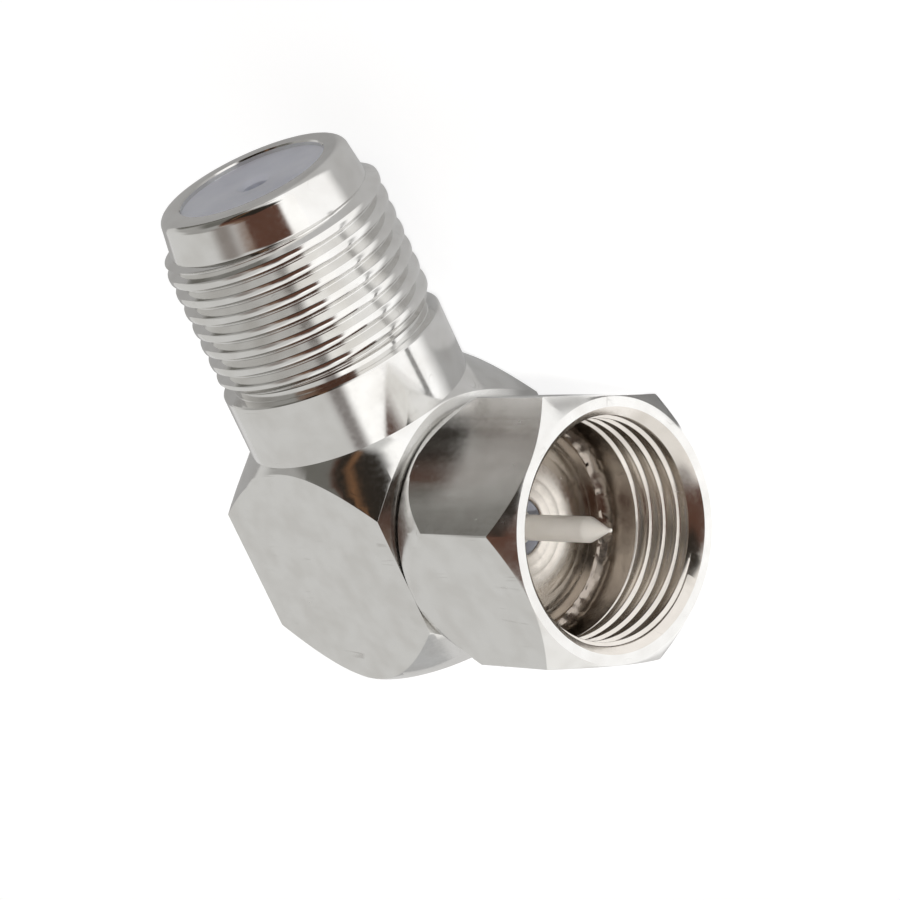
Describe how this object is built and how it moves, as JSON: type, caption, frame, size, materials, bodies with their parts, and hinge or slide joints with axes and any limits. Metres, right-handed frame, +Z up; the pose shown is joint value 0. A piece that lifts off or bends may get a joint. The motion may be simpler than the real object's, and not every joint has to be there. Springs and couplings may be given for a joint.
{
  "type": "right-angle f coaxial adapter",
  "caption": "Right-angle coaxial adapter: threaded female jack on a square elbow, with a centre-pin plug and a free-turning hex coupling nut.",
  "frame": {"origin": "centre of the bounding box in X and Y, at the level of the nut flat that the part lies on", "axes": "+Y along the jack axis, out of the threaded jack; +X along the plug axis, out of the plug; Z up, across the two milled side flats, because the part lies on its side flats"},
  "size_m": [0.0172, 0.0226, 0.0106],
  "materials": {
    "elbow_nickel": "bright nickel plate over turned and milled brass",
    "ferrule_nickel": "nickel plate with turning marks",
    "nut_nickel": "bright nickel plate",
    "plug_plastic": "satin moulded plastic",
    "pin_tin": "satin tin plate over brass",
    "contact_brass": "bare spring brass",
    "rear_plastic": "natural moulded plastic",
    "disc_plastic": "cloudy translucent moulded plastic"
  },
  "bodies": {
    "connector": {"elbow_body": "elbow_nickel", "plug_ferrule": "ferrule_nickel", "plug_insulator": "plug_plastic", "centre_pin": "pin_tin", "jack_contact": "contact_brass", "jack_rear_insulator": "rear_plastic", "jack_front_insulator": "disc_plastic"},
    "nut": {"coupling_nut": "nut_nickel"}
  },
  "joints": [
    {"name": "nut_spin", "type": "hinge", "parent": "connector", "child": "nut", "pos_m": [0.005, -0.00517, 0.0053], "axis": [1, 0, 0], "continuous": true}
  ]
}
